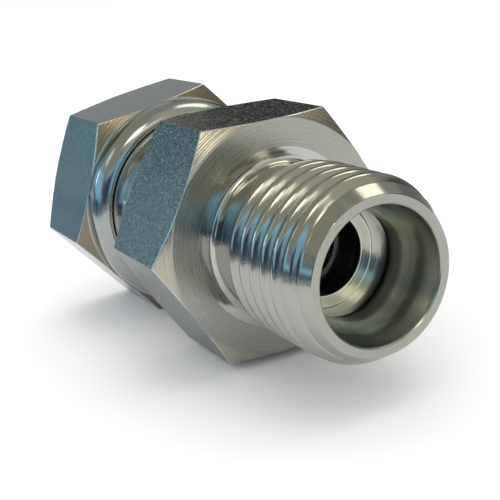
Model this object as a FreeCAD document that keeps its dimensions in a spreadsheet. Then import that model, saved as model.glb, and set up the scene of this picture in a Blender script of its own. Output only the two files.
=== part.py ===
import FreeCAD, Part
import math
import os

import Sketcher

# Swivel nut connector, lying on a flat of its body hexagon.
# +X runs along the fitting's axis towards the male thread and +Z is up.
# The origin is on the axis, where the tube stops in its socket.

DRIVING_SIZES = {
    # Tube socket: a 24 degree cone, a parallel socket and the bore behind them
    "socket_diameter": 8.1,
    "socket_depth": 7.0,
    "cone_half_angle": 12.0,
    "cone_rise": 1.0,
    "mouth_edge_break": 0.1,
    "tube_stop_width": 0.95,
    "counterbore_depth": 3.3,
    "bore_step": 0.2,
    # Threaded male end, from its face to the body hexagon
    "male_end_length": 13.5,
    "rim_width": 0.65,
    "end_chamfer_length": 1.9,
    "end_chamfer_height": 1.1,
    "thread_pitch": 1.5,
    "thread_cutter_overlap": 0.05,
    "relief_length": 4.2,
    "relief_below_root": 0.04,
    "relief_corner": 0.4,
    # Hexagons
    "body_hexagon_length": 9.2,
    "hexagon_over_neck": 0.05,
    "hexagon_chamfer_angle": 30.0,
    "chamfer_circle_oversize": 0.1,
    # Plain neck and the collar that the nut turns on
    "neck_length": 6.8,
    "collar_height": 0.55,
    "collar_length": 2.5,
    # Cone nose that seals in the mating part
    "nose_wall": 1.84,
    "nose_cone_length": 6.4,
    "nose_land": 1.0,
    # Rubber ring on the nose
    "ring_section": 1.5,
    "ring_from_tip": 2.6,
    "ring_stands_proud": 0.15,
    "ring_seat_gap": 0.05,
    "ring_side_gap": 0.2,
    # Swivel nut, from its thread out to its neck and lip
    "nut_turn": 9.7,
    "nose_clearance": 1.1,
    "nut_thread_height": 1.0,
    "nut_relief_length": 1.6,
    "nut_shoulder_height": 0.55,
    "nut_running_gap": 0.1,
    "nut_end_float": 0.2,
    "nut_neck_wall": 0.7,
    "nut_neck_reach": 1.4,
    "nut_lip_land": 0.45,
    "nut_lip_thickness": 0.24,
    "nut_lip_gap": 0.15,
    "hexagon_behind_collar": 1.34,
    "nut_past_nose": 0.64,
}

FULL_TURN = 360
HEXAGON_SIDES = 6
# The waste round a hexagon reaches past its corners, as a share of the width across flats.
WASTE_REACH = 0.65
# The collar's back and the nut's lip slope at this angle to the axis, in degrees.
LIP_SLOPE = 45
# Sixty degree thread form: the flanks' half angle, and its depth as a share of the sharp height.
FLANK_ANGLE = 30
DEPTH_SHARE = 2 / 3
# The neck's rolled end falls to the lip in straight steps, as shares of its reach and its fall.
ROLLED_STEPS = ((0.42, 0.12), (0.77, 0.48))
# The rubber ring's round section is drawn with this many sides.
RING_SIDES = 8


class Measure:
    """A size that carries its value and the sheet expression that gives it."""

    def __init__(self, value, text):
        self.value = value
        self.text = text

    def __add__(self, other):
        other = measure(other)
        return Measure(self.value + other.value, f"({self.text} + {other.text})")

    def __sub__(self, other):
        other = measure(other)
        return Measure(self.value - other.value, f"({self.text} - {other.text})")

    def __mul__(self, other):
        other = measure(other)
        return Measure(self.value * other.value, f"({self.text} * {other.text})")

    def __truediv__(self, other):
        other = measure(other)
        return Measure(self.value / other.value, f"({self.text} / {other.text})")


def measure(size):
    """A plain number, or a measure as it is."""
    if isinstance(size, Measure):
        return size
    return Measure(float(size), f"{float(size)}")


def tangent(angle):
    """The tangent of an angle in degrees."""
    return Measure(math.tan(math.radians(angle.value)), f"tan({angle.text} * 1deg)")


def cosine(degrees):
    """The cosine of a plain number of degrees."""
    return Measure(math.cos(math.radians(degrees)), f"cos({float(degrees)} * 1deg)")


def sine(degrees):
    """The sine of a plain number of degrees."""
    return Measure(math.sin(math.radians(degrees)), f"sin({float(degrees)} * 1deg)")


def fill_sheet(doc):
    """Write the driving sizes into the sheet and return them as measures."""
    sheet = doc.addObject("Spreadsheet::Sheet", "Size")
    sizes = {}
    for row, (name, value) in enumerate(DRIVING_SIZES.items(), start=1):
        sheet.set(f"A{row}", name)
        sheet.set(f"B{row}", str(value))
        sheet.setAlias(f"B{row}", name)
        sizes[name] = Measure(value, f"Size.{name}")
    doc.recompute()
    return sizes


def origin_plane(body, role):
    """The body's own origin plane with this role."""
    return next(item for item in body.Origin.OriginFeatures if item.Role == role)


def attach(sketch, body, role, station=None):
    """Lay a sketch on an origin plane, moved along its normal to a station."""
    sketch.AttachmentSupport = (origin_plane(body, role), [""])
    sketch.MapMode = "FlatFace"
    if station is not None:
        sketch.setExpression("AttachmentOffset.Base.z", station.text)


def add_outline(sketch, points):
    """Draw a closed outline of straight lines, its corners bound to the sheet."""
    first = sketch.GeometryCount
    corners = [FreeCAD.Vector(x.value, y.value, 0) for x, y in points]
    for start, end in zip(corners, corners[1:] + corners[:1]):
        sketch.addGeometry(Part.LineSegment(start, end), False)
    for index, (x, y) in enumerate(points):
        edge = first + index
        following = first + (index + 1) % len(points)
        sketch.addConstraint(Sketcher.Constraint("Coincident", edge, 2, following, 1))
        for direction, place in (("DistanceX", x), ("DistanceY", y)):
            item = sketch.addConstraint(Sketcher.Constraint(direction, edge, 1, place.value))
            sketch.setExpression(f"Constraints[{item}]", place.text)


def turned_sketch(body, label, *outlines):
    """A sketch of half sections, X along the axis and Y the radius."""
    sketch = body.newObject("Sketcher::SketchObject", label)
    attach(sketch, body, "XZ_Plane")
    for outline in outlines:
        add_outline(sketch, outline)
    return sketch


def turn_on(body, label, *outlines):
    """Add a turned solid about the fitting's axis."""
    sketch = turned_sketch(body, f"{label}_section", *outlines)
    turned = body.newObject("PartDesign::Revolution", label)
    turned.Profile = sketch
    turned.ReferenceAxis = (sketch, ["H_Axis"])
    turned.Angle = FULL_TURN
    body.Document.recompute()


def turn_off(body, label, *outlines):
    """Cut a turned space about the fitting's axis, and see that it takes metal away."""
    before = body.Shape.Volume
    sketch = turned_sketch(body, f"{label}_section", *outlines)
    cut = body.newObject("PartDesign::Groove", label)
    cut.Profile = sketch
    cut.ReferenceAxis = (sketch, ["H_Axis"])
    cut.Angle = FULL_TURN
    body.Document.recompute()
    if not body.Shape.Volume < before:
        raise RuntimeError(f"{label} cuts nothing")


def add_hexagon(body, label, across_flats, back, length):
    """Add a hexagonal bar from its back station, with flats at top and bottom."""
    sketch = body.newObject("Sketcher::SketchObject", f"{label}_section")
    attach(sketch, body, "YZ_Plane", back)
    corner_radius = across_flats / (cosine(FULL_TURN / HEXAGON_SIDES / 2) * 2)
    angles = [FULL_TURN / HEXAGON_SIDES * side for side in range(HEXAGON_SIDES)]
    add_outline(sketch, [(corner_radius * cosine(angle), corner_radius * sine(angle)) for angle in angles])
    bar = body.newObject("PartDesign::Pad", label)
    bar.Profile = sketch
    bar.setExpression("Length", length.text)
    body.Document.recompute()


def chamfer_hexagon(body, label, sizes, across_flats, back, length):
    """Turn the corners off both ends of a hexagon, down to a circle just wider than its flats."""
    inner = (across_flats + sizes["chamfer_circle_oversize"]) / 2
    outer = across_flats * WASTE_REACH
    drop = (outer - inner) * tangent(sizes["hexagon_chamfer_angle"])
    front = back + length
    front_waste = [(front, inner), (front, outer), (front - drop, outer)]
    back_waste = [(back, inner), (back + drop, outer), (back, outer)]
    turn_off(body, label, front_waste, back_waste)


def radii(s):
    """Radii of both pieces, each a wall or a clearance away from the one before."""
    sharp_height = s["thread_pitch"] / 2 / tangent(measure(FLANK_ANGLE))
    r = {"socket": s["socket_diameter"] / 2}
    r["mouth"] = r["socket"] + s["cone_rise"]
    r["rim"] = r["mouth"] + s["mouth_edge_break"] + s["rim_width"]
    r["crest"] = r["rim"] + s["end_chamfer_height"]
    r["root"] = r["crest"] - sharp_height * DEPTH_SHARE
    r["relief"] = r["root"] - s["relief_below_root"]
    r["counterbore"] = r["socket"] - s["tube_stop_width"]
    r["bore"] = r["counterbore"] - s["bore_step"]
    r["nose_tip"] = r["bore"] + s["nose_wall"]
    r["nose"] = r["nose_tip"] + s["nose_cone_length"] * tangent(s["cone_half_angle"])
    # The ring's centre line leaves the ring a little proud of the nose cone.
    cone_at_ring = r["nose_tip"] + s["ring_from_tip"] * tangent(s["cone_half_angle"])
    r["ring"] = cone_at_ring + s["ring_stands_proud"] - s["ring_section"] / 2
    r["nut_minor"] = r["nose"] + s["nose_clearance"]
    r["nut_relief"] = r["nut_minor"] + s["nut_thread_height"]
    r["skirt_bore"] = r["nut_relief"] + s["nut_shoulder_height"]
    r["collar"] = r["skirt_bore"] - s["nut_running_gap"]
    r["neck"] = r["collar"] - s["collar_height"]
    r["lip_bore"] = r["neck"] + s["nut_lip_gap"]
    r["nut_neck"] = r["skirt_bore"] + s["nut_neck_wall"]
    r["flats"] = r["nut_neck"] + s["hexagon_over_neck"]
    return r


def stations(s, r):
    """Places along the axis that more than one feature shares."""
    x = {"face": s["socket_depth"]}
    x["hex_front"] = x["face"] - s["male_end_length"]
    x["crest_end"] = x["hex_front"] + s["relief_length"]
    x["relief_end"] = x["crest_end"] - (r["crest"] - r["relief"])
    x["hex_back"] = x["hex_front"] - s["body_hexagon_length"]
    x["neck_end"] = x["hex_back"] - s["neck_length"]
    x["collar_back"] = x["neck_end"] - s["collar_height"]
    x["collar_front"] = x["collar_back"] - s["collar_length"]
    x["nose_base"] = x["collar_front"] - s["nose_land"]
    x["nose_tip"] = x["nose_base"] - s["nose_cone_length"]
    x["ring"] = x["nose_tip"] + s["ring_from_tip"]
    # The nut's lip lies along the collar's sloping back, a lip gap away from it.
    across_gap = s["nut_lip_gap"] / cosine(LIP_SLOPE)
    x["lip_cone"] = x["neck_end"] + across_gap - s["nut_lip_gap"]
    x["lip"] = x["lip_cone"] + s["nut_lip_land"]
    x["nut_front"] = x["collar_back"] - s["hexagon_behind_collar"]
    x["nut_rear"] = x["nose_tip"] - s["nut_past_nose"]
    x["nut_shoulder"] = x["collar_front"] - s["nut_end_float"]
    return x


def add_turned_outside(body, s, r, x):
    """The nose, collar, neck, relief and thread crests, from the nose tip to the male face."""
    axis = measure(0)
    corner = s["relief_corner"]
    outline = [
        (x["nose_tip"], axis),
        (x["nose_tip"], r["nose_tip"]),
        (x["nose_base"], r["nose"]),
        (x["collar_front"], r["nose"]),
        (x["collar_front"], r["collar"]),
        (x["collar_back"], r["collar"]),
        (x["neck_end"], r["neck"]),
        (x["hex_front"], r["neck"]),
        (x["hex_front"], r["relief"] + corner),
        (x["hex_front"] + corner, r["relief"]),
        (x["relief_end"], r["relief"]),
        (x["crest_end"], r["crest"]),
        (x["face"] - s["end_chamfer_length"], r["crest"]),
        (x["face"], r["rim"]),
        (x["face"], axis),
    ]
    turn_on(body, "turned_outside", outline)


def cut_male_thread(body, s, r, x):
    """The right hand thread: a cutter that climbs from the relief groove out past the face."""
    before = body.Shape.Volume
    top = r["crest"] + s["thread_cutter_overlap"]
    half_width = (top - r["root"]) * tangent(measure(FLANK_ANGLE))
    start = (x["hex_front"] + x["relief_end"]) / 2
    cutter = [
        (start, r["root"]),
        (start + half_width, top),
        (start - half_width, top),
    ]
    thread = body.newObject("PartDesign::SubtractiveHelix", "male_thread")
    thread.Profile = turned_sketch(body, "thread_cutter_section", cutter)
    thread.ReferenceAxis = (thread.Profile[0], ["H_Axis"])
    thread.Mode = "pitch-height-angle"
    thread.setExpression("Pitch", s["thread_pitch"].text)
    thread.setExpression("Height", (x["face"] + s["thread_pitch"] - start).text)
    body.Document.recompute()
    if not body.Shape.Volume < before:
        raise RuntimeError("the thread cuts nothing")


def cut_tube_seat_and_bore(body, s, r, x):
    """The 24 degree cone, tube socket, counterbore and through bore."""
    axis = measure(0)
    stop = measure(0)
    cone_start = x["face"] - s["mouth_edge_break"]
    cone_end = cone_start - s["cone_rise"] / tangent(s["cone_half_angle"])
    bore_start = stop - s["counterbore_depth"]
    outline = [
        (x["nose_tip"], axis),
        (x["face"], axis),
        (x["face"], r["mouth"] + s["mouth_edge_break"]),
        (cone_start, r["mouth"]),
        (cone_end, r["socket"]),
        (stop, r["socket"]),
        (stop, r["counterbore"]),
        (bore_start, r["counterbore"]),
        (bore_start, r["bore"]),
        (x["nose_tip"], r["bore"]),
    ]
    turn_off(body, "tube_seat_and_bore", outline)


def cut_ring_groove(body, s, r, x):
    """The square groove in the nose cone that holds the rubber ring."""
    half_width = s["ring_section"] / 2 + s["ring_side_gap"]
    bottom = r["ring"] - s["ring_section"] / 2 - s["ring_seat_gap"]
    top = r["ring"] + s["ring_section"]
    outline = [
        (x["ring"] - half_width, bottom),
        (x["ring"] + half_width, bottom),
        (x["ring"] + half_width, top),
        (x["ring"] - half_width, top),
    ]
    turn_off(body, "ring_groove", outline)


def make_connector_body(doc, s, r, x):
    """The one-piece steel body, turned and threaded from hexagon bar."""
    body = doc.addObject("PartDesign::Body", "connector_body")
    across_flats = r["flats"] * 2
    add_turned_outside(body, s, r, x)
    add_hexagon(body, "wrench_hexagon", across_flats, x["hex_back"], s["body_hexagon_length"])
    chamfer_hexagon(body, "hexagon_chamfers", s, across_flats, x["hex_back"], s["body_hexagon_length"])
    cut_male_thread(body, s, r, x)
    cut_tube_seat_and_bore(body, s, r, x)
    cut_ring_groove(body, s, r, x)
    return body


def add_nut_neck(body, s, r, x):
    """The thin neck of the nut, rolled in to its lip."""
    axis = measure(0)
    lip_outer = r["lip_bore"] + s["nut_lip_thickness"]
    fall = r["nut_neck"] - lip_outer
    roll_start = x["lip"] - s["nut_neck_reach"]
    steps = [
        (roll_start + s["nut_neck_reach"] * along, r["nut_neck"] - fall * down)
        for along, down in ROLLED_STEPS
    ]
    outline = [
        (x["nut_rear"], axis),
        (x["nut_rear"], r["nut_neck"]),
        (roll_start, r["nut_neck"]),
        *steps,
        (x["lip"], lip_outer),
        (x["lip"], axis),
    ]
    turn_on(body, "rolled_neck", outline)


def cut_nut_inside(body, s, r, x):
    """The thread's minor bore, its relief, the bore that turns on the collar and the rolled lip."""
    axis = measure(0)
    mouth_end = x["nut_rear"] + s["nut_thread_height"]
    thread_end = x["nut_shoulder"] - s["nut_relief_length"]
    outline = [
        (x["nut_rear"], axis),
        (x["lip"], axis),
        (x["lip"], r["lip_bore"]),
        (x["lip_cone"], r["lip_bore"]),
        (x["lip_cone"] - (r["skirt_bore"] - r["lip_bore"]), r["skirt_bore"]),
        (x["nut_shoulder"], r["skirt_bore"]),
        (x["nut_shoulder"], r["nut_relief"]),
        (thread_end, r["nut_relief"]),
        (thread_end - s["nut_thread_height"], r["nut_minor"]),
        (mouth_end, r["nut_minor"]),
        (x["nut_rear"], r["nut_relief"]),
    ]
    turn_off(body, "nut_inside", outline)


def make_swivel_nut(doc, s, r, x):
    """The hexagon nut, turned a few degrees on the body."""
    nut = doc.addObject("PartDesign::Body", "swivel_nut")
    across_flats = r["flats"] * 2
    hexagon_length = x["nut_front"] - x["nut_rear"]
    add_nut_neck(nut, s, r, x)
    add_hexagon(nut, "nut_hexagon", across_flats, x["nut_rear"], hexagon_length)
    chamfer_hexagon(nut, "nut_chamfers", s, across_flats, x["nut_rear"], hexagon_length)
    cut_nut_inside(nut, s, r, x)
    nut.Placement = FreeCAD.Placement(FreeCAD.Vector(), FreeCAD.Rotation(FreeCAD.Vector(1, 0, 0), 0))
    nut.setExpression("Placement.Rotation.Angle", "Size.nut_turn")
    return nut


def make_cone_o_ring(doc, s, r, x):
    """The rubber ring in the nose's groove, with flats of its section towards the groove's walls."""
    ring = doc.addObject("PartDesign::Body", "cone_o_ring")
    half_side = FULL_TURN / RING_SIDES / 2
    corner_radius = s["ring_section"] / 2 / cosine(half_side)
    angles = [half_side * (2 * side + 1) for side in range(RING_SIDES)]
    corners = [
        (x["ring"] + corner_radius * cosine(angle), r["ring"] + corner_radius * sine(angle))
        for angle in angles
    ]
    turn_on(ring, "ring_body", corners)
    return ring


def check(doc, pieces):
    """Stop if a feature failed or a piece is not one valid solid."""
    for item in doc.Objects:
        if "Invalid" in item.State or "Error" in item.State:
            raise RuntimeError(f"{item.Label} did not build: {item.State}")
    for piece in pieces:
        shape = piece.Shape
        if shape.isNull() or not shape.isValid() or len(shape.Solids) != 1:
            raise RuntimeError(f"{piece.Label} is not one valid solid")


def main():
    doc = FreeCAD.newDocument("swivel_nut_connector")
    sizes = fill_sheet(doc)
    widths = radii(sizes)
    places = stations(sizes, widths)
    pieces = [
        make_connector_body(doc, sizes, widths, places),
        make_swivel_nut(doc, sizes, widths, places),
        make_cone_o_ring(doc, sizes, widths, places),
    ]
    doc.recompute()
    check(doc, pieces)
    os.makedirs("parts", exist_ok=True)
    for piece in pieces:
        piece.Shape.exportStep(f"parts/{piece.Label}.step")
        print(f"{piece.Label}: {piece.Shape.Volume:.1f} mm3")


main()
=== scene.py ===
"""A zinc plated hydraulic connector with a swivel nut, lying on a pale floor.

The connector body, the nut and the nose's rubber ring are built here as fine surfaces with
their threads and turning marks, in the places of the solids they stand for.
The part's own lengths and the camera's place are in millimetres. The meshes, cards and lamps are
in metres.
"""

import logging
from dataclasses import dataclass
from enum import Enum

import bpy
import numpy as np
from mathutils import Matrix, Vector

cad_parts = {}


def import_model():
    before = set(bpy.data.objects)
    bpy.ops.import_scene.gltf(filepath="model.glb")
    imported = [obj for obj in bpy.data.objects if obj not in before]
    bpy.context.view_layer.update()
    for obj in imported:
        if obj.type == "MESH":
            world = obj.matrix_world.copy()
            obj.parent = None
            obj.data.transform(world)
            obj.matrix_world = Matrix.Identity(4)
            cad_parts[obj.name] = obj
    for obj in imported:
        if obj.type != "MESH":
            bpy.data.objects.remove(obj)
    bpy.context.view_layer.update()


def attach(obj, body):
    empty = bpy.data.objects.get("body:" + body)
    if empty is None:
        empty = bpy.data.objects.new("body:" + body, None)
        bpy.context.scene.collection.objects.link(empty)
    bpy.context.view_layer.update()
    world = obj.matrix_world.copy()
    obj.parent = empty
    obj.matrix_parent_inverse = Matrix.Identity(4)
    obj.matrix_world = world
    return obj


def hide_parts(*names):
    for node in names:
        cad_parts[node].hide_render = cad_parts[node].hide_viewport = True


LOG = logging.getLogger("swivel_nut_connector")
MM = 0.001
TWO_PI = 2.0 * np.pi
TAN_30 = np.tan(np.radians(30.0))
TAN_12 = np.tan(np.radians(12.0))
MERGE_DISTANCE = 2e-7
RING_TILT = -0.37
PART_MIDDLE = (-0.012, 0.0, 0.0)
CARD_GRID = (25, 13)


class Surface(Enum):
    """The finishes that one steel piece carries, in the order of its material slots."""

    FLAT = 0
    CHAMFER = 1
    FACE = 2
    TURNED = 3
    THREAD = 4
    INSIDE = 5
    EDGE = 6
    BORE = 7


def hexagon_columns(per_side: int = 23) -> np.ndarray:
    """Angles round the axis, with a close group at each corner of a hexagon.

    A corner lies at every sixth of a turn from zero. The close group follows the corner's small
    round, and the rest are even.

    Args:
        per_side: how many even columns lie between two corners.

    Returns:
        Rising angles in radians from zero to a full turn, both included.
    """
    close = np.radians([-1.3, -0.75, -0.5, -0.25, 0.0, 0.25, 0.5, 0.75, 1.3])
    even = np.linspace(np.radians(3.2), np.radians(56.8), per_side)
    side = np.concatenate([close[4:], even, np.radians(60.0) + close[:4]])
    angles = (np.arange(6)[:, None] * np.radians(60.0) + side[None, :]).ravel()
    return np.append(angles, TWO_PI)


def hexagon_radius(angles: np.ndarray, across_flats: float, rounding: float) -> np.ndarray:
    """Distance from the axis to a hexagon with slightly rounded corners.

    Along a flat it is half the across flats over the cosine of the angle from the flat's middle.
    Near a corner it is the far side of a circle that touches both flats.

    Args:
        angles: angles round the axis, with corners at each sixth of a turn.
        across_flats: distance between opposite flats.
        rounding: radius of each corner.

    Returns:
        The radius at each angle.
    """
    half = across_flats / 2.0
    from_corner = (angles + np.radians(30.0)) % np.radians(60.0) - np.radians(30.0)
    flat = half / np.cos(np.radians(30.0) - np.abs(from_corner))
    centre = (half - rounding) / np.cos(np.radians(30.0))
    inside = np.maximum(rounding**2 - (centre * np.sin(from_corner)) ** 2, 0.0)
    round_part = centre * np.cos(from_corner) + np.sqrt(inside)
    reach = np.arctan2(rounding * 0.5, centre + rounding * np.cos(np.radians(30.0)))
    return np.where(np.abs(from_corner) < reach, round_part, flat)


def rounded_outline(corners: list[tuple[float, float, float]], steps: int = 5) -> np.ndarray:
    """An open outline of straight runs whose corners are rounded with arcs.

    Each arc touches both of its runs. A support point follows it closely on each side, so that
    the flat runs keep their shading.

    Args:
        corners: place along the axis, radius, and size of the round at each corner.
        steps: points on each arc.

    Returns:
        Rows of place and radius.
    """
    points = np.array([corner[:2] for corner in corners])
    rows = [points[:1]]
    sizes = [corner[2] for corner in corners[1:-1]]
    for before, here, after, size in zip(points[:-2], points[1:-1], points[2:], sizes):
        back = (before - here) / np.linalg.norm(before - here)
        ahead = (after - here) / np.linalg.norm(after - here)
        half_angle = np.arccos(np.clip(back @ ahead, -1.0, 1.0)) / 2.0
        cut = size / np.tan(half_angle)
        middle = (back + ahead) / np.linalg.norm(back + ahead)
        centre = here + middle * size / np.sin(half_angle)
        start = here + back * cut - centre
        end = here + ahead * cut - centre
        turn = np.linspace(0.0, 1.0, steps)[:, None]
        whole = np.pi - 2.0 * half_angle
        arc = (np.sin((1.0 - turn) * whole) * start + np.sin(turn * whole) * end) / np.sin(whole)
        support = 0.35 * cut
        rows += [(here + back * (cut + support))[None], centre + arc,
                 (here + ahead * (cut + support))[None]]
    rows.append(points[-1:])
    return np.concatenate(rows)


def thread_form(
    phase: np.ndarray, root: float, crest: float, pitch: float, flat: float, softness: float
) -> np.ndarray:
    """Radius of a sixty degree thread over one pitch, with its crest and root rounded.

    The sharp form is a flat crest, sides that fall at sixty degrees, and what is left at the root.
    The round comes from averaging that form over a short reach on both sides.

    Args:
        phase: place within the pitch as a fraction, with the crest's middle at zero.
        root: radius at the root.
        crest: radius at the crest.
        pitch: the thread's pitch.
        flat: width of the sharp form's crest, as a fraction of the pitch.
        softness: reach of the average, as a fraction of the pitch.

    Returns:
        The radius at each phase.
    """
    taps = np.linspace(-1.0, 1.0, 9)
    weights = 1.0 - 0.8 * taps**2
    places = (phase[..., None] + softness * taps + 0.5) % 1.0 - 0.5
    fall = (np.abs(places) - flat / 2.0) * pitch * np.tan(np.radians(60.0))
    depth = abs(crest - root)
    sharp = np.clip(fall, 0.0, depth)
    drop = (sharp * weights).sum(-1) / weights.sum()
    return crest - np.sign(crest - root) * drop


class Shell:
    """A closed surface made of rows of points, each row once round the axis.

    The last row joins the first. Rows of a thread climb by one pitch in a turn, so there the last
    column joins the first a pitch's rows further on.
    """

    def __init__(self, angles: np.ndarray) -> None:
        """Start a shell whose columns stand at the given angles."""
        self.angles = angles
        self.places: list[np.ndarray] = []
        self.radii: list[np.ndarray] = []
        self.finishes: list[int] = []
        self.climbs: list[np.ndarray] = []
        self.count = 0

    def add(self, places: np.ndarray, radii: np.ndarray, finish: Surface, climb: int = 0) -> None:
        """Add rows of points.

        Args:
            places: places along the axis, one a row or one a point.
            radii: radii, one a row or one a point.
            finish: the finish of the faces that follow each row.
            climb: how many rows further on the last column joins the first.
        """
        rows = len(places)
        for values, kept in ((places, self.places), (radii, self.radii)):
            values = np.asarray(values, float).reshape(rows, -1)
            kept.append(np.broadcast_to(values, (rows, len(self.angles))))
        self.finishes += [finish.value] * rows
        last = rows - 1 if climb else rows
        self.climbs.append(self.count + np.minimum(np.arange(rows) + climb, last))
        self.count += rows

    def outline(self, corners: list[tuple[float, float, float]], finish: Surface) -> None:
        """Add a turned outline, whose rows are the same all round."""
        rows = rounded_outline(corners)
        self.add(rows[:, 0], rows[:, 1], finish)

    def mesh(self, name: str, turn: float = 0.0) -> bpy.types.Mesh:
        """Make the mesh, in metres.

        A point stands at its place along X, and its radius times the cosine and the sine of its
        column's angle along Y and Z.

        Args:
            name: the mesh's name.
            turn: angle in radians by which the whole shell is turned about the axis.

        Returns:
            The closed mesh with a finish on each face.
        """
        places = np.concatenate(self.places)
        radii = np.concatenate(self.radii)
        rows, columns = places.shape
        angles = self.angles + turn
        points = np.stack([places, radii * np.cos(angles), radii * np.sin(angles)], -1) * MM
        number = np.arange(rows * columns).reshape(rows, columns)
        number[:, -1] = number[np.concatenate(self.climbs), 0]
        after = np.roll(number, -1, axis=0)
        quads = np.stack([number[:, :-1], number[:, 1:], after[:, 1:], after[:, :-1]], -1)
        finish = np.repeat(np.array(self.finishes)[:, None], columns - 1, axis=1)
        return closed_mesh(name, points.reshape(-1, 3), quads.reshape(-1, 4), finish.ravel())


def closed_mesh(
    name: str, points: np.ndarray, quads: np.ndarray, finish: np.ndarray
) -> bpy.types.Mesh:
    """Merge points that coincide, drop faces that have no area and make the mesh.

    Points are matched on a fine lattice. A face keeps its different corners only, so a collapsed
    quad becomes a triangle or goes.

    Args:
        name: the mesh's name.
        points: places in metres.
        quads: four point numbers a face.
        finish: the material slot of each face.

    Returns:
        The mesh, smooth shaded, with its faces outwards.
    """
    lattice = np.round(points / MERGE_DISTANCE).astype(np.int64)
    _, first, same = np.unique(lattice, axis=0, return_index=True, return_inverse=True)
    points = points[first]
    quads = same.ravel()[quads]
    following = np.roll(quads, -1, axis=1)
    differs = quads != following
    kept = differs.sum(1)
    crossed = (quads[:, 0] == quads[:, 2]) | (quads[:, 1] == quads[:, 3])
    whole = (kept == 4) & ~crossed
    collapsed = (kept == 3) & ~crossed
    four = quads[whole]
    three = quads[collapsed][differs[collapsed]].reshape(-1, 3)
    finish = np.concatenate([finish[whole], finish[collapsed]])
    used = np.zeros(len(points), bool)
    used[four.ravel()] = True
    used[three.ravel()] = True
    renumber = np.cumsum(used) - 1
    points = points[used]
    four = renumber[four]
    three = renumber[three]
    if enclosed_volume(points, four, three) < 0.0:
        four = four[:, ::-1]
        three = three[:, ::-1]
    mesh = bpy.data.meshes.new(name)
    mesh.from_pydata(points.tolist(), [], four.tolist() + three.tolist())
    mesh.polygons.foreach_set("material_index", finish.astype(np.int32))
    mesh.polygons.foreach_set("use_smooth", np.ones(len(mesh.polygons), bool))
    mesh.update()
    return mesh


def enclosed_volume(points: np.ndarray, four: np.ndarray, three: np.ndarray) -> float:
    """Volume inside the faces, the sum of the tetrahedra from the origin to each triangle."""
    triangles = np.concatenate([four[:, [0, 1, 2]], four[:, [0, 2, 3]], three])
    a, b, c = (points[triangles[:, i]] for i in range(3))
    return float(np.einsum("ij,ij->i", a, np.cross(b, c)).sum() / 6.0)


@dataclass(frozen=True)
class Hexagon:
    """A hexagonal bar with its corners turned off at both ends.

    Attributes:
        across_flats: distance between opposite flats.
        back: place of its lower end along the axis.
        front: place of its upper end along the axis.
        circle: radius at which the corner chamfers meet the end faces.
        rounding: radius of the edges between the flats.
        edge: width of the small round on the other edges.
    """

    across_flats: float = 19.0
    back: float = -15.7
    front: float = -6.5
    circle: float = 9.57
    rounding: float = 0.12
    edge: float = 0.09

    def end_rows(self, angles: np.ndarray) -> tuple[np.ndarray, np.ndarray]:
        """Rows from an end face over its chamfer onto the flats, for an end at zero.

        The chamfer is a cone of thirty degrees to the end face, so the flat's edge lies back from
        the end by the tangent of thirty degrees times how far the hexagon reaches past the circle.
        The middle of each small round is a quarter of both its ends and half of the corner.

        Args:
            angles: the columns' angles.

        Returns:
            Depths behind the end face and radii, from the face inwards to the flat.
        """
        outer = hexagon_radius(angles, self.across_flats, self.rounding)
        inner = np.minimum(self.circle, outer)
        drop = (outer - inner) * TAN_30
        length = np.hypot(outer - inner, drop)
        share = np.minimum(self.edge, length * 0.45) / np.maximum(length, 1e-9)
        zero = np.zeros_like(outer)
        face_end, face_corner = np.stack([zero, inner - self.edge]), np.stack([zero, inner])
        cone_start = np.stack([drop * share, inner + (outer - inner) * share])
        cone_end = np.stack([drop * (1.0 - share), outer - (outer - inner) * share])
        flat_corner, flat_start = np.stack([drop, outer]), np.stack([drop + self.edge, outer])
        rows = np.stack([
            (zero, inner - self.edge * 2.0),
            face_end,
            (face_end + cone_start) * 0.25 + face_corner * 0.5,
            cone_start,
            *(cone_start + (cone_end - cone_start) * step for step in (0.06, 0.5, 0.94)),
            cone_end,
            (cone_end + flat_start) * 0.25 + flat_corner * 0.5,
            flat_start,
            (drop + self.edge * 2.0, outer),
        ])
        return rows[:, 0], rows[:, 1]

    def dress(self, shell: Shell, forwards: bool) -> None:
        """Add the rows of both ends and the flats to a shell.

        Args:
            shell: the shell that takes the rows.
            forwards: true to go from the back end to the front end.
        """
        depth, radius = self.end_rows(shell.angles)
        ends = [(self.back, 1.0), (self.front, -1.0)]
        (first, first_sign), (second, second_sign) = ends if forwards else ends[::-1]
        # The rounds next to the flats take the edge finish, whose lighter colour is a painted highlight.
        bevel = [Surface.FACE] * 2 + [Surface.CHAMFER] * 4 + [Surface.EDGE] * 2
        entering = [Surface.FACE] + bevel + [Surface.FLAT] * 2
        leaving = [Surface.FLAT] + bevel[::-1] + [Surface.FACE] * 2
        for row_depth, row_radius, finish in zip(depth, radius, entering):
            shell.add(first + first_sign * row_depth[None], row_radius[None], finish)
        for row_depth, row_radius, finish in zip(depth[::-1], radius[::-1], leaving):
            shell.add(second + second_sign * row_depth[None], row_radius[None], finish)


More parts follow.
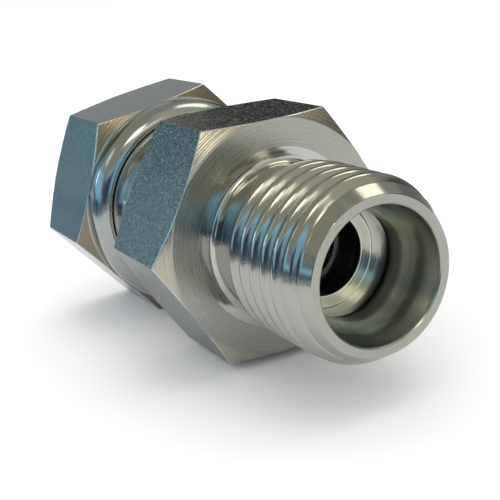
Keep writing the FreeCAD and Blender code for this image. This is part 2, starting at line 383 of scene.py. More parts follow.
@dataclass(frozen=True)
class ScrewThread:
    """A right hand thread over a length of the axis.

    Attributes:
        pitch: the thread's pitch.
        root: radius at the root.
        crest: radius at the crest.
        start: place of its lower end.
        end: place of its upper end.
        flat: width of the crest, as a fraction of the pitch.
        softness: reach of the round on crest and root, as a fraction of the pitch.
        phase: where along the pitch a crest crosses angle zero, as a fraction.
        rows_per_pitch: how many rows of points make one pitch.
    """

    pitch: float
    root: float
    crest: float
    start: float
    end: float
    flat: float
    softness: float
    phase: float = 0.0
    rows_per_pitch: int = 22

    def rows(self, angles: np.ndarray) -> tuple[np.ndarray, np.ndarray]:
        """Rows that follow the helix, held between the thread's two ends.

        A row climbs by a pitch in one turn. Its radius depends only on the row's own place within
        the pitch, except where the hold moves it along the axis.

        Args:
            angles: the columns' angles, counted right handed about the axis.

        Returns:
            Places along the axis and radii, one row each.
        """
        turns = angles / TWO_PI
        first = self.start - self.pitch
        count = int(np.ceil((self.end - first) / self.pitch * self.rows_per_pitch)) + 1
        base = first + np.arange(count) * self.pitch / self.rows_per_pitch
        places = np.clip(base[:, None] + self.pitch * turns[None, :], self.start, self.end)
        phase = (places / self.pitch - turns[None, :] - self.phase) % 1.0
        radii = thread_form(phase, self.root, self.crest, self.pitch, self.flat, self.softness)
        return places, radii


class Nodes:
    """A short way to place and link nodes in one tree."""

    def __init__(self, tree: bpy.types.NodeTree) -> None:
        """Work in the given tree."""
        self.tree = tree

    def add(self, kind: str, values: dict | None = None, **settings: object) -> bpy.types.Node:
        """Place a node.

        Args:
            kind: the node's type name.
            values: values or output sockets for its inputs, by name or number.
            settings: properties of the node.

        Returns:
            The new node.
        """
        node = self.tree.nodes.new(kind)
        for key, value in settings.items():
            setattr(node, key, value)
        for key, value in (values or {}).items():
            self.feed(node.inputs[key], value)
        return node

    def feed(self, socket: bpy.types.NodeSocket, value: object) -> None:
        """Link an output socket to an input, or set the input to a plain value."""
        if isinstance(value, bpy.types.NodeSocket):
            self.tree.links.new(value, socket)
        else:
            socket.default_value = value

    def surface(self, kind: str, values: dict) -> bpy.types.Node:
        """Place a shader and show it on the material's surface."""
        shader = self.add(kind, values)
        self.add("ShaderNodeOutputMaterial", {"Surface": shader.outputs[0]})
        return shader

    def noise(self, values: dict, **settings: object) -> bpy.types.NodeSocket:
        """The value of a Noise node."""
        return self.add("ShaderNodeTexNoise", values, **settings).outputs[0]

    def math(self, operation: str, *values: object) -> bpy.types.NodeSocket:
        """The result of a Math node on one to three values or sockets."""
        node = self.add("ShaderNodeMath", dict(enumerate(values)), operation=operation)
        return node.outputs[0]

    def mix_color(self, factor: object, a: object, b: object) -> bpy.types.NodeSocket:
        """A colour that goes from a to b as the factor goes from nought to one."""
        node = self.add("ShaderNodeMix", data_type="RGBA")
        for number, value in ((0, factor), (6, a), (7, b)):
            self.feed(node.inputs[number], value)
        return node.outputs[2]

    def span(
        self, value: object, low: float, high: float, to_low: float, to_high: float
    ) -> bpy.types.NodeSocket:
        """A value moved from one range to another and held inside it."""
        values = {"Value": value, "From Min": low, "From Max": high, "To Min": to_low, "To Max": to_high}
        return self.add("ShaderNodeMapRange", values, clamp=True).outputs[0]


def blank_material(name: str) -> tuple[bpy.types.Material, Nodes]:
    """A material with an empty tree, and the helper that works in it."""
    material = bpy.data.materials.new(name)
    material.use_nodes = True
    material.node_tree.nodes.clear()
    return material, Nodes(material.node_tree)


class NodeGroups:
    """The effects that several finishes share, each built once."""

    def __init__(self) -> None:
        """Build every group."""
        self.rings = self._turning_rings()
        self.grain = self._plated_grain()
        self.tint = self._plating_tint()

    @staticmethod
    def _new(
        name: str, inputs: dict[str, object], outputs: tuple[str, ...], kind: str = "NodeSocketFloat"
    ) -> tuple[bpy.types.NodeTree, Nodes, bpy.types.bpy_prop_collection, bpy.types.NodeSocket]:
        """Start a group with its sockets.

        Args:
            name: the group's name.
            inputs: its inputs and their defaults, where a tuple makes a colour.
            outputs: the names of its outputs.
            kind: the type of its outputs.

        Returns:
            The group, the helper that works in it, its input values and the object's coordinates.
        """
        tree = bpy.data.node_groups.new(name, "ShaderNodeTree")
        for label, value in inputs.items():
            input_kind = "NodeSocketColor" if isinstance(value, tuple) else "NodeSocketFloat"
            socket = tree.interface.new_socket(name=label, in_out="INPUT", socket_type=input_kind)
            socket.default_value = value
        for label in outputs:
            tree.interface.new_socket(name=label, in_out="OUTPUT", socket_type=kind)
        nodes = Nodes(tree)
        place = nodes.add("ShaderNodeTexCoord").outputs["Object"]
        return tree, nodes, nodes.add("NodeGroupInput").outputs, place

    def _turning_rings(self) -> bpy.types.NodeTree:
        """Rings left by the lathe tool about the axis.

        The ring coordinate is the radius and a share of the place along the axis, which changes
        steadily over faces, chamfers and cylinders alike. A sine of it is the tool's feed, which a
        slow noise pushes a little to and fro, and noise in one dimension adds finer scratches.
        A noise in space fades all of it from place to place.
        """
        tree, nodes, inputs, place = self._new(
            "turning_rings", {"Spacing": 0.2, "Fine Share": 0.4}, ("Height", "Mask"))
        parts = nodes.add("ShaderNodeSeparateXYZ", {0: place}).outputs
        across = nodes.math("SQRT", nodes.math("ADD", nodes.math("MULTIPLY", parts[1], parts[1]),
                                               nodes.math("MULTIPLY", parts[2], parts[2])))
        ring = nodes.math("MULTIPLY", nodes.math("MULTIPLY_ADD", parts[0], RING_TILT, across), 1.0 / MM)
        steps = nodes.math("DIVIDE", ring, inputs["Spacing"])
        push = nodes.noise({"W": steps, "Scale": 0.6, "Detail": 1.0}, noise_dimensions="1D")
        turns = nodes.math("MULTIPLY_ADD", push, 1.3, steps)
        wave = nodes.math("SINE", nodes.math("MULTIPLY", turns, TWO_PI))
        feed = nodes.math("MULTIPLY_ADD", wave, 0.5, 0.5)
        fine = nodes.noise({"W": steps, "Scale": 3.1, "Detail": 2.0, "Roughness": 0.6},
                           noise_dimensions="1D")
        drift = nodes.noise({"Vector": place, "Scale": 260.0, "Detail": 2.0})
        share = inputs["Fine Share"]
        mixed = nodes.math("ADD", nodes.math("MULTIPLY", feed, nodes.math("SUBTRACT", 1.0, share)),
                           nodes.math("MULTIPLY", fine, share))
        height = nodes.math("MULTIPLY", mixed, nodes.span(drift, 0.3, 0.7, 0.55, 1.0))
        nodes.add("NodeGroupOutput", {"Height": height, "Mask": nodes.span(mixed, 0.3, 0.7, 0.0, 1.0)})
        return tree

    def _plated_grain(self) -> bpy.types.NodeTree:
        """Fine pits of drawn bar under zinc plating, and the crystals that stand out of it.

        Noise in space gives the pits. The crystals are cells of a finer lattice, shown only where
        a second noise is high, so that they come in small crowds.
        """
        tree, nodes, inputs, place = self._new("plated_grain", {"Size": 0.15}, ("Height", "Mask"))
        scale = nodes.math("DIVIDE", 1.0 / MM, inputs["Size"])
        pits = nodes.noise({"Vector": place, "Scale": scale, "Detail": 3.0, "Roughness": 0.65})
        coarser = nodes.math("MULTIPLY", scale, 0.5)
        crowd = nodes.noise({"Vector": place, "Scale": coarser, "Detail": 3.0, "Roughness": 0.75})
        finer = nodes.math("MULTIPLY", scale, 1.3)
        cells = nodes.add("ShaderNodeTexVoronoi", {"Vector": place, "Scale": finer})
        crystal = nodes.span(cells.outputs["Distance"], 0.2, 0.45, 1.0, 0.0)
        shown = nodes.math("MULTIPLY", crystal, nodes.span(crowd, 0.44, 0.58, 0.0, 1.0))
        height = nodes.math("MULTIPLY_ADD", shown, 0.5, pits)
        nodes.add("NodeGroupOutput", {"Height": height, "Mask": shown})
        return tree

    def _plating_tint(self) -> bpy.types.NodeTree:
        """The slight shift of bright zinc from blue to straw over a few millimetres."""
        defaults = {"Cool": (0.6, 0.66, 0.7, 1.0), "Warm": (0.7, 0.68, 0.62, 1.0), "Cloudiness": 0.5}
        tree, nodes, inputs, place = self._new("plating_tint", defaults, ("Color",), "NodeSocketColor")
        cloud = nodes.noise({"Vector": place, "Scale": 190.0, "Detail": 3.0, "Roughness": 0.55,
                             "Distortion": 0.4})
        spread = nodes.span(cloud, 0.32, 0.68, 0.0, 1.0)
        factor = nodes.math("MULTIPLY", spread, inputs["Cloudiness"])
        color = nodes.mix_color(factor, inputs["Cool"], inputs["Warm"])
        nodes.add("NodeGroupOutput", {"Color": color})
        return tree


@dataclass(frozen=True)
class SteelFinish:
    """A zinc plated steel surface.

    Attributes:
        name: the material's name.
        cool: the plating's bluish colour.
        warm: the plating's straw colour.
        cloudiness: how far the colour goes towards straw.
        roughness: lowest and highest roughness.
        ring_spacing: distance between turning rings in millimetres, nought for none.
        ring_depth: height of the rings in millimetres.
        fine_share: the share of fine rings.
        grain_size: size of the grain in millimetres.
        grain_depth: height of the grain in millimetres.
        speck: how much the crystals lighten the plating, from nought to one.
        anisotropy: how far reflections spread across the turning rings.
    """

    name: str
    cool: tuple[float, float, float]
    warm: tuple[float, float, float]
    cloudiness: float
    roughness: tuple[float, float]
    ring_spacing: float = 0.0
    ring_depth: float = 0.0
    fine_share: float = 0.5
    grain_size: float = 0.1
    grain_depth: float = 0.001
    speck: float = 0.0
    anisotropy: float = 0.0

    def build(self, groups: NodeGroups) -> bpy.types.Material:
        """Make the material.

        Args:
            groups: the shared node groups.

        Returns:
            A metal whose colour, roughness and bump come from the groups.
        """
        material, nodes = blank_material(self.name)
        tint = nodes.add("ShaderNodeGroup", {"Cool": (*self.cool, 1.0), "Warm": (*self.warm, 1.0),
                                             "Cloudiness": self.cloudiness}, node_tree=groups.tint)
        grain = nodes.add("ShaderNodeGroup", {"Size": self.grain_size}, node_tree=groups.grain)
        color = tint.outputs["Color"]
        rough_mask = grain.outputs["Mask"]
        if self.speck > 0.0:
            lighter = tuple(value + (1.0 - value) * self.speck for value in self.cool)
            color = nodes.mix_color(grain.outputs["Mask"], color, (*lighter, 1.0))
        bump = nodes.add("ShaderNodeBump", {"Strength": 1.0, "Distance": self.grain_depth * MM,
                                            "Height": grain.outputs["Height"]})
        if self.ring_spacing > 0.0:
            rings = nodes.add("ShaderNodeGroup", {"Spacing": self.ring_spacing,
                                                  "Fine Share": self.fine_share}, node_tree=groups.rings)
            rough_mask = rings.outputs["Mask"]
            bump = nodes.add("ShaderNodeBump", {"Strength": 1.0, "Distance": self.ring_depth * MM,
                                                "Height": rings.outputs["Height"],
                                                "Normal": bump.outputs[0]})
        roughness = nodes.span(rough_mask, 0.0, 1.0, *self.roughness)
        shader = nodes.surface("ShaderNodeBsdfPrincipled", {
            "Base Color": color, "Metallic": 1.0, "Roughness": roughness, "Normal": bump.outputs[0]})
        if self.anisotropy > 0.0:
            tangent = nodes.add("ShaderNodeTangent", direction_type="RADIAL", axis="X")
            nodes.feed(shader.inputs["Anisotropic"], self.anisotropy)
            nodes.feed(shader.inputs["Anisotropic Rotation"], 0.25)
            nodes.feed(shader.inputs["Tangent"], tangent.outputs[0])
        return material


@dataclass(frozen=True)
class RubberFinish:
    """Black nitrile rubber with a faint bloom.

    Attributes:
        name: the material's name.
        color: the rubber's colour.
        bloom: its paler bloom.
        roughness: lowest and highest roughness.
    """

    name: str = "seal_rubber_black"
    color: tuple[float, float, float] = (0.018, 0.018, 0.02)
    bloom: tuple[float, float, float] = (0.05, 0.05, 0.052)
    roughness: tuple[float, float] = (0.4, 0.55)

    def build(self, groups: NodeGroups) -> bpy.types.Material:
        """Make the material from the shared grain group."""
        material, nodes = blank_material(self.name)
        grain = nodes.add("ShaderNodeGroup", {"Size": 0.25}, node_tree=groups.grain)
        factor = nodes.math("MULTIPLY", grain.outputs["Mask"], 0.5)
        color = nodes.mix_color(factor, (*self.color, 1.0), (*self.bloom, 1.0))
        bump = nodes.add("ShaderNodeBump", {"Distance": 0.004 * MM, "Height": grain.outputs["Height"]})
        roughness = nodes.span(grain.outputs["Mask"], 0.0, 1.0, *self.roughness)
        nodes.surface("ShaderNodeBsdfPrincipled", {
            "Base Color": color, "Roughness": roughness, "Normal": bump.outputs[0]})
        return material


BODY_FINISHES = {
    Surface.FLAT: SteelFinish(
        "body_drawn_flat", (0.10, 0.125, 0.125), (0.12, 0.13, 0.12), 0.6, (0.26, 0.62),
        grain_size=0.13, grain_depth=0.02, speck=0.75),
    Surface.CHAMFER: SteelFinish(
        "body_turned_chamfer", (0.40, 0.38, 0.325), (0.43, 0.40, 0.33), 0.8, (0.18, 0.42),
        ring_spacing=0.19, ring_depth=0.012, fine_share=0.3),
    Surface.FACE: SteelFinish(
        "body_turned_face", (0.335, 0.345, 0.315), (0.365, 0.355, 0.305), 0.6, (0.22, 0.32),
        ring_spacing=0.17, ring_depth=0.0014, fine_share=0.3, anisotropy=0.6),
    Surface.TURNED: SteelFinish(
        "body_turned_round", (0.44, 0.45, 0.43), (0.47, 0.45, 0.40), 0.5, (0.08, 0.16),
        ring_spacing=0.34, ring_depth=0.002, grain_depth=0.0005),
    Surface.THREAD: SteelFinish(
        "body_rolled_thread", (0.35, 0.36, 0.34), (0.38, 0.37, 0.33), 0.6, (0.14, 0.22),
        grain_size=0.12, grain_depth=0.002),
    Surface.INSIDE: SteelFinish(
        "body_bored_inside", (0.62, 0.64, 0.59), (0.65, 0.64, 0.58), 0.5, (0.16, 0.26),
        ring_spacing=0.3, ring_depth=0.003),
    # The bore has the inside's rings but a much darker colour: painted shade deep down the hole.
    Surface.BORE: SteelFinish(
        "body_bore_painted_shade", (0.22, 0.23, 0.20), (0.25, 0.25, 0.20), 0.5, (0.2, 0.3),
        ring_spacing=0.3, ring_depth=0.003),
    # The edge rounds are lighter than the flats and chamfers beside them: a painted highlight along the
    # edges.
    Surface.EDGE: SteelFinish(
        "body_edge_painted_highlight", (0.54, 0.55, 0.53), (0.58, 0.56, 0.50), 0.5, (0.25, 0.4),
        grain_depth=0.006),
}

NUT_FINISHES = {
    Surface.FLAT: SteelFinish(
        "nut_drawn_flat", (0.23, 0.26, 0.27), (0.25, 0.27, 0.26), 0.6, (0.2, 0.3),
        grain_size=0.16, grain_depth=0.002),
    Surface.CHAMFER: SteelFinish(
        "nut_turned_chamfer", (0.21, 0.185, 0.15), (0.22, 0.18, 0.135), 0.8, (0.18, 0.34),
        ring_spacing=0.22, ring_depth=0.006, fine_share=0.4),
    Surface.FACE: SteelFinish(
        "nut_turned_face", (0.36, 0.37, 0.35), (0.40, 0.39, 0.35), 0.6, (0.24, 0.34),
        ring_spacing=0.2, ring_depth=0.0018, fine_share=0.4, anisotropy=0.6),
    Surface.TURNED: SteelFinish(
        "nut_rolled_neck", (0.33, 0.36, 0.36), (0.36, 0.36, 0.35), 0.5, (0.14, 0.22),
        ring_spacing=0.34, ring_depth=0.002),
    Surface.THREAD: SteelFinish(
        "nut_cut_thread", (0.50, 0.51, 0.49), (0.54, 0.52, 0.47), 0.5, (0.16, 0.26),
        grain_size=0.12, grain_depth=0.003),
    Surface.INSIDE: SteelFinish(
        "nut_bored_inside", (0.50, 0.52, 0.50), (0.54, 0.53, 0.49), 0.5, (0.18, 0.28),
        ring_spacing=0.3, ring_depth=0.004),
    # The nut's edge rounds are lighter than its flats and chamfers: a painted highlight along the edges.
    Surface.EDGE: SteelFinish(
        "nut_edge_painted_highlight", (0.48, 0.50, 0.49), (0.52, 0.50, 0.46), 0.5, (0.25, 0.35),
        grain_depth=0.004),
}


def new_object(name: str, data: bpy.types.ID) -> bpy.types.Object:
    """Put an object with the given data into the scene, at the origin."""
    item = bpy.data.objects.new(name, data)
    bpy.context.scene.collection.objects.link(item)
    return item


def place_piece(mesh: bpy.types.Mesh, materials: list[bpy.types.Material]) -> bpy.types.Object:
    """Put a mesh into the scene with its materials in order."""
    for material in materials:
        mesh.materials.append(material)
    return new_object(mesh.name, mesh)


@dataclass
class ConnectorBody:
    """The one-piece body: nose cone, collar, neck, hexagon, relief groove and male end."""

    nose_tip: float = -32.95
    nose_base: float = -26.55
    nose_base_radius: float = 6.1
    groove_back: float = -31.3
    groove_front: float = -29.4
    groove_radius: float = 3.89
    collar_front: float = -25.55
    collar_back: float = -23.05
    collar_radius: float = 8.65
    neck_radius: float = 8.1
    neck_end: float = -22.5
    relief_radius: float = 5.994
    relief_end: float = -3.206
    crest_radius: float = 6.9
    root_radius: float = 6.034
    thread_pitch: float = 1.5
    chamfer_start: float = 5.1
    face: float = 7.0
    rim_radius: float = 5.8
    mouth_radius: float = 5.15
    cone_start: float = 6.9
    cone_radius: float = 5.05
    socket_radius: float = 4.05
    socket_end: float = 2.195
    counterbore_radius: float = 3.1
    counterbore_end: float = -3.3
    bore_radius: float = 2.9

    def nose_radius(self, place: float) -> float:
        """Radius of the nose cone at a place along the axis."""
        return self.nose_base_radius - (self.nose_base - place) * TAN_12

    def mouth_cone_radius(self, place: float) -> float:
        """Radius of the cone in the mouth at a place along the axis."""
        narrowing = (self.cone_radius - self.socket_radius) / (self.cone_start - self.socket_end)
        return self.cone_radius - (self.cone_start - place) * narrowing

    def shell(self) -> Shell:
        """The whole closed surface, from the nose tip round the outside and back through the bore."""
        hexagon = Hexagon()
        shell = Shell(hexagon_columns())
        back_face = hexagon.back
        shell.outline([
            (self.nose_tip, self.bore_radius + 0.3, 0.0),
            (self.nose_tip, self.nose_radius(self.nose_tip), 0.3),
            (self.groove_back, self.nose_radius(self.groove_back), 0.05),
            (self.groove_back, self.groove_radius, 0.15),
            (self.groove_front, self.groove_radius, 0.15),
            (self.groove_front, self.nose_radius(self.groove_front), 0.05),
            (self.nose_base, self.nose_base_radius, 0.8),
            (self.collar_front, self.nose_base_radius, 0.1),
            (self.collar_front, self.collar_radius, 0.3),
            (self.collar_back, self.collar_radius, 0.15),
            (self.neck_end, self.neck_radius, 0.15),
            (back_face, self.neck_radius, 0.12),
            (back_face, self.neck_radius + 0.6, 0.0),
        ], Surface.TURNED)
        hexagon.dress(shell, forwards=True)
        shell.outline([
            (hexagon.front, self.crest_radius + 0.4, 0.0),
            (hexagon.front, self.relief_radius, 0.45),
            (self.relief_end - 0.12, self.relief_radius, 0.0),
        ], Surface.TURNED)
        self.add_thread(shell)
        shell.outline([
            (self.face, self.rim_radius - 0.08, 0.0),
            (self.face, self.mouth_radius, 0.02),
            (self.cone_start, self.cone_radius, 0.03),
            (self.cone_start - 0.1, self.mouth_cone_radius(self.cone_start - 0.1), 0.0),
        ], Surface.FACE)
        shell.outline([
            (self.cone_start - 0.15, self.mouth_cone_radius(self.cone_start - 0.15), 0.0),
            (self.socket_end, self.socket_radius, 0.6),
            (0.0, self.socket_radius, 0.08),
            (0.0, self.counterbore_radius, 0.08),
            (-0.1, self.counterbore_radius, 0.0),
        ], Surface.INSIDE)
        # The counterbore and the long bore take the dark bore finish, painted shade inside the hole.
        shell.outline([
            (-0.12, self.counterbore_radius, 0.0),
            (self.counterbore_end, self.counterbore_radius, 0.04),
            (self.counterbore_end, self.bore_radius, 0.04),
            (self.nose_tip, self.bore_radius, 0.12),
            (self.nose_tip, self.bore_radius + 0.25, 0.0),
        ], Surface.BORE)
        return shell

    def add_thread(self, shell: Shell) -> None:
        """Add the male thread, cut by the relief's slope at one end and the chamfer at the other.

        The radius is the least of the thread's form, the slope up out of the relief, and the
        chamfer's cone down to the rim.
        """
        thread = ScrewThread(self.thread_pitch, self.root_radius, self.crest_radius,
                             start=self.relief_end, end=self.face, flat=0.3, softness=0.11, phase=0.015)
        places, radii = thread.rows(shell.angles)
        slope = self.relief_radius + (places - self.relief_end)
        fall = (self.crest_radius - self.rim_radius) / (self.face - self.chamfer_start)
        chamfer = self.rim_radius + (self.face - places) * fall
        radii = np.minimum(np.minimum(radii, slope), chamfer)
        shell.add(places, radii, Surface.THREAD, thread.rows_per_pitch)

    def build(self, materials: list[bpy.types.Material]) -> bpy.types.Object:
        """Make the piece in the place of its solid."""
        piece = place_piece(self.shell().mesh("threaded_body"), materials)
        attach(piece, "connector")
        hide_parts("connector_body")
        return piece


@dataclass
class SwivelNut:
    """The hexagon nut with its thin neck rolled over the body's collar."""

    turn: float = 9.7
    lip: float = -21.99
    lip_bore: float = 8.17
    lip_outer: float = 8.49
    lip_cone: float = -22.44
    neck_radius: float = 9.45
    neck_round: float = 1.5
    front: float = -24.39
    rear: float = -33.59
    skirt_bore: float = 8.75
    shoulder: float = -25.75
    relief_radius: float = 8.2
    relief_end: float = -27.35
    minor_radius: float = 7.2
    major_radius: float = 8.05
    pitch: float = 1.5
    mouth_round: float = 0.04

    def neck_rows(self) -> np.ndarray:
        """Rows of the neck's outside from the lip back to the hexagon.

        The round is an arc that starts square to the neck and ends at the lip's outer edge.
        """
        fall = self.neck_radius - self.lip_outer
        centre_radius = self.neck_radius - self.neck_round
        end = np.arccos((self.neck_round - fall) / self.neck_round)
        centre_place = self.lip - self.neck_round * np.sin(end)
        angle = np.linspace(end, 0.0, 14)
        return np.stack([centre_place + self.neck_round * np.sin(angle),
                         centre_radius + self.neck_round * np.cos(angle)], -1)

    def shell(self) -> Shell:
        """The whole closed surface, from the lip over the outside and back through the thread."""
        hexagon = Hexagon(back=self.rear, front=self.front, circle=9.55)
        shell = Shell(hexagon_columns())
        shell.add([self.lip, self.lip], [self.lip_bore + 0.12, self.lip_outer - 0.05], Surface.EDGE)
        neck = self.neck_rows()
        shell.add(neck[:, 0] - 0.015, neck[:, 1], Surface.TURNED)
        foot = [self.front + 0.12, self.front + 0.03, self.front]
        shell.add(foot, [self.neck_radius] * 3, Surface.TURNED)
        hexagon.dress(shell, forwards=False)
        shell.outline([
            (self.rear, self.relief_radius + 0.4, 0.0),
            (self.rear, self.relief_radius, 0.03),
            (self.rear + self.mouth_round, self.relief_radius - self.mouth_round, 0.0),
        ], Surface.FACE)
        self.add_thread(shell)
        shell.outline([
            (self.relief_end, self.relief_radius, 0.0),
            (self.shoulder, self.relief_radius, 0.08),
            (self.shoulder, self.skirt_bore, 0.08),
            (self.lip_cone - (self.skirt_bore - self.lip_bore), self.skirt_bore, 0.1),
            (self.lip_cone, self.lip_bore, 0.1),
            (self.lip, self.lip_bore, 0.05),
            (self.lip, self.lip_bore + 0.1, 0.0),
        ], Surface.INSIDE)
        return shell

    def add_thread(self, shell: Shell) -> None:
        """Add the female thread, opened out by the mouth's chamfer and the relief's slope.

        The radius is the greatest of the thread's form and the two cones.
        """
        thread = ScrewThread(self.pitch, self.major_radius, self.minor_radius,
                             start=self.rear + self.mouth_round, end=self.relief_end,
                             flat=0.16, softness=0.06)
        places, radii = thread.rows(shell.angles)
        mouth = self.relief_radius - (places - self.rear)
        slope = self.relief_radius - (self.relief_end - places)
        radii = np.maximum(np.maximum(radii, slope), mouth)
        shell.add(places, radii, Surface.THREAD, thread.rows_per_pitch)

    def build(self, materials: list[bpy.types.Material]) -> bpy.types.Object:
        """Make the piece in the place of its solid."""
        mesh = self.shell().mesh("swivel_nut_threaded", np.radians(self.turn))
        piece = place_piece(mesh, materials)
        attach(piece, "nut")
        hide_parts("swivel_nut")
        return piece


@dataclass
class NoseRing:
    """The round rubber ring in the nose's groove."""

    place: float = -30.35
    centre_radius: float = 4.6926
    section: float = 1.5
    columns: int = 96
    section_points: int = 28

    def build(self, materials: list[bpy.types.Material]) -> bpy.types.Object:
        """Make the ring, a circle of points swept round the axis, in the place of its solid."""
        shell = Shell(np.linspace(0.0, TWO_PI, self.columns + 1))
        around = np.arange(self.section_points) * TWO_PI / self.section_points
        half = self.section / 2.0
        places = self.place + half * np.cos(around)
        shell.add(places, self.centre_radius + half * np.sin(around), Surface.FLAT)
        piece = place_piece(shell.mesh("cone_o_ring_round"), materials)
        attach(piece, "connector")
        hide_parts("cone_o_ring")
        return piece


@dataclass(frozen=True)
class Reflector:
    """A curved card round the part that only its polished metal sees.

    Attributes:
        name: the card's name.
        around: first and last azimuth in degrees, counted from X towards Y.
        above: lowest and highest elevation in degrees.
        color: its colour and brightness, where one is white.
        distance: its distance in metres.
    """

    name: str
    around: tuple[float, float]
    above: tuple[float, float]
    color: tuple[float, float, float]
    distance: float = 0.8

    def build(self) -> bpy.types.Object:
        """Make the card, a patch of a sphere on a grid of azimuth and elevation."""
        across, upwards = CARD_GRID
        azimuth, elevation = np.meshgrid(np.radians(np.linspace(*self.around, across)),
                                         np.radians(np.linspace(*self.above, upwards)))
        points = self.distance * np.stack([np.cos(elevation) * np.cos(azimuth),
                                           np.cos(elevation) * np.sin(azimuth), np.sin(elevation)], -1)
        number = np.arange(azimuth.size).reshape(azimuth.shape)
        quads = np.stack([number[:-1, :-1], number[1:, :-1], number[1:, 1:], number[:-1, 1:]], -1)
        mesh = bpy.data.meshes.new(self.name)
        mesh.from_pydata(points.reshape(-1, 3).tolist(), [], quads.reshape(-1, 4).tolist())
        material, nodes = blank_material(self.name)
        nodes.surface("ShaderNodeEmission", {"Color": (*self.color, 1.0), "Strength": 1.0})
        card = place_piece(mesh, [material])
        card.visible_camera = False
        card.visible_shadow = False
        card.visible_diffuse = False
        return card


@dataclass(frozen=True)
class Softbox:
    """A soft lamp that faces the part.

    Attributes:
        name: the lamp's name.
        place: where it stands, in metres.
        size: its side in metres.
        power: its power in watts.
        color: its colour.
    """

    name: str
    place: tuple[float, float, float]
    size: float
    power: float
    color: tuple[float, float, float]

    def build(self) -> bpy.types.Object:
        """Hang the lamp and aim it at the part's middle."""
        data = bpy.data.lights.new(self.name, "AREA")
        data.shape = "SQUARE"
        data.size = self.size
        data.energy = self.power
        data.color = self.color
        lamp = new_object(self.name, data)
        lamp.location = self.place
        aim = Vector(PART_MIDDLE) - Vector(self.place)
        lamp.rotation_euler = aim.to_track_quat("-Z", "Y").to_euler()
        lamp.visible_glossy = False
        return lamp


REFLECTORS = tuple(Reflector(*row) for row in (
    ("olive_ceiling", (172.0, 362.0), (24.0, 89.0), (0.48, 0.48, 0.38), 0.90),
    ("grey_ceiling", (58.0, 176.0), (20.0, 89.0), (0.45, 0.45, 0.40), 0.91),
    ("warm_ceiling", (-2.0, 62.0), (18.0, 89.0), (0.72, 0.68, 0.56), 0.92),
    ("blue_wall", (208.0, 352.0), (0.0, 25.0), (0.50, 1.0, 1.4), 0.85),
    ("teal_wall", (180.0, 214.0), (0.0, 27.0), (0.19, 0.34, 0.42), 0.80),
    ("navy_foot", (212.0, 352.0), (-1.0, 5.0), (0.06, 0.09, 0.16), 0.78),
    ("navy_corner", (286.0, 336.0), (-1.0, 21.0), (0.06, 0.08, 0.13), 0.76),
    ("teal_corner", (331.0, 352.0), (0.0, 20.0), (0.40, 0.78, 1.05), 0.75),
    ("beige_side", (272.0, 287.0), (10.0, 26.0), (0.30, 0.30, 0.26), 0.77),
    ("blue_kerb", (180.0, 206.0), (-5.3, 1.0), (0.30, 0.44, 0.54), 0.068),
    ("navy_kerb", (206.0, 268.0), (-5.3, 1.0), (0.14, 0.22, 0.30), 0.068),
    ("beige_kerb", (268.0, 300.0), (-5.3, 1.0), (0.42, 0.45, 0.45), 0.068),
    ("dark_kerb", (300.0, 352.0), (-5.3, 1.0), (0.12, 0.18, 0.24), 0.068),
    ("grey_kerb", (100.0, 160.0), (-7.5, 4.0), (0.30, 0.30, 0.28), 0.068),
    ("dark_back", (130.0, 157.0), (-1.0, 27.0), (0.03, 0.035, 0.035), 0.82),
    ("grey_flank", (80.0, 131.0), (-1.0, 24.0), (0.24, 0.25, 0.24), 0.83),
    ("dark_side", (40.0, 81.0), (-1.0, 24.0), (0.16, 0.16, 0.15), 0.84),
    ("grey_back", (157.0, 182.0), (-1.0, 24.0), (0.44, 0.46, 0.46), 0.83),
    ("window", (208.0, 213.0), (7.0, 15.0), (3.4, 4.6, 4.9), 0.70),
    ("cream_box_left", (238.0, 262.0), (33.0, 46.0), (1.6, 1.5, 1.2), 0.70),
    ("cream_box_right", (318.0, 348.0), (46.0, 61.0), (5.4, 5.0, 4.0), 0.70),
    ("cream_box_low", (343.0, 372.0), (38.0, 47.0), (2.7, 2.5, 2.0), 0.70),
    ("cream_box_back", (66.0, 112.0), (46.0, 69.0), (3.1, 2.95, 2.5), 0.70),
))


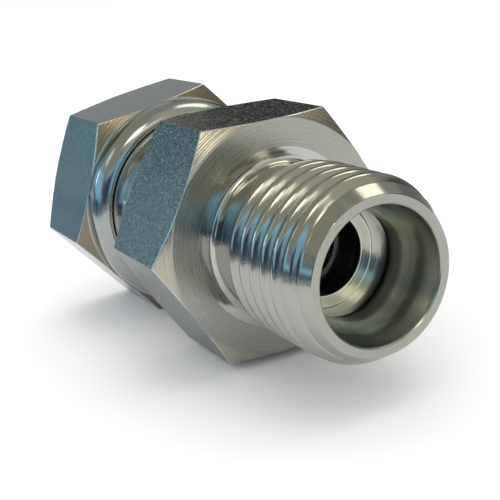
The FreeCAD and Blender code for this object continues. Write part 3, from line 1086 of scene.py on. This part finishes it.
@dataclass
class Studio:
    """The pale floor, the soft light and the camera."""

    floor_height: float = -10.289 * MM
    floor_size: float = 3.0
    lens: float = 72.4
    shift: tuple[float, float] = (-0.0461, 0.0006)
    camera_place: tuple[float, float, float] = (60.203, -37.235, 23.135)
    camera_right: tuple[float, float, float] = (0.50422, 0.8574, -0.10312)
    camera_up: tuple[float, float, float] = (-0.21098, 0.23809, 0.94805)
    view: tuple[float, float, float] = (-0.83741, 0.45627, -0.30094)

    def build(self) -> None:
        """Make everything in the studio."""
        self.make_camera()
        self.make_floor()
        self.make_world()
        for softbox in (
            Softbox("overhead_softbox", (-0.05, 0.08, 0.45), 0.4, 0.5, (1.0, 0.97, 0.92)),
            Softbox("side_softbox", (0.3, -0.35, 0.25), 0.4, 0.25, (0.96, 0.98, 1.0)),
        ):
            softbox.build()
        for reflector in REFLECTORS:
            reflector.build()

    def make_camera(self) -> None:
        """Place the camera from its solved axes, with a plain lens and no depth of field."""
        data = bpy.data.cameras.new("photo_view")
        data.sensor_width = 36.0
        data.lens = self.lens
        data.shift_x, data.shift_y = self.shift
        data.clip_start, data.clip_end = 0.001, 20.0
        camera = new_object("photo_view", data)
        right, up = Vector(self.camera_right), Vector(self.camera_up)
        back = -Vector(self.view)
        rotation = Matrix((right, up, back)).transposed()
        camera.matrix_world = Matrix.Translation(Vector(self.camera_place) * MM) @ rotation.to_4x4()
        bpy.context.scene.camera = camera

    def make_floor(self) -> None:
        """Lay a wide pale floor under the part."""
        half = self.floor_size / 2.0
        corners = np.array([(-half, -half), (half, -half), (half, half), (-half, half)])
        points = np.column_stack([corners, np.full(4, self.floor_height)])
        mesh = bpy.data.meshes.new("floor")
        mesh.from_pydata(points.tolist(), [], [(0, 1, 2, 3)])
        material, nodes = blank_material("floor_white")
        nodes.surface("ShaderNodeBsdfPrincipled", {
            "Base Color": (0.97, 0.97, 0.97, 1.0), "Roughness": 1.0, "Specular IOR Level": 0.0})
        floor = place_piece(mesh, [material])

    def make_world(self) -> None:
        """A plain white surrounding at the same level for every ray."""
        world = bpy.data.worlds.new("studio_world")
        bpy.context.scene.world = world
        world.use_nodes = True
        background = world.node_tree.nodes["Background"]
        background.inputs["Color"].default_value = (1.0, 1.0, 1.0, 1.0)
        background.inputs["Strength"].default_value = 1.0


def main() -> None:
    """Build the pieces and the studio."""
    logging.basicConfig(level=logging.INFO, format="%(name)s: %(message)s")
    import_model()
    groups = NodeGroups()
    body_materials = [BODY_FINISHES[surface].build(groups) for surface in Surface]
    nut_materials = [
        NUT_FINISHES[surface].build(groups) for surface in Surface if surface in NUT_FINISHES
    ]
    pieces = (
        ConnectorBody().build(body_materials),
        SwivelNut().build(nut_materials),
        NoseRing().build([RubberFinish().build(groups)]),
    )
    for piece in pieces:
        LOG.info("%s: %d faces", piece.name, len(piece.data.polygons))
    Studio().build()
    bpy.context.scene.view_settings.view_transform = "Standard"


if __name__ == "__main__":
    main()
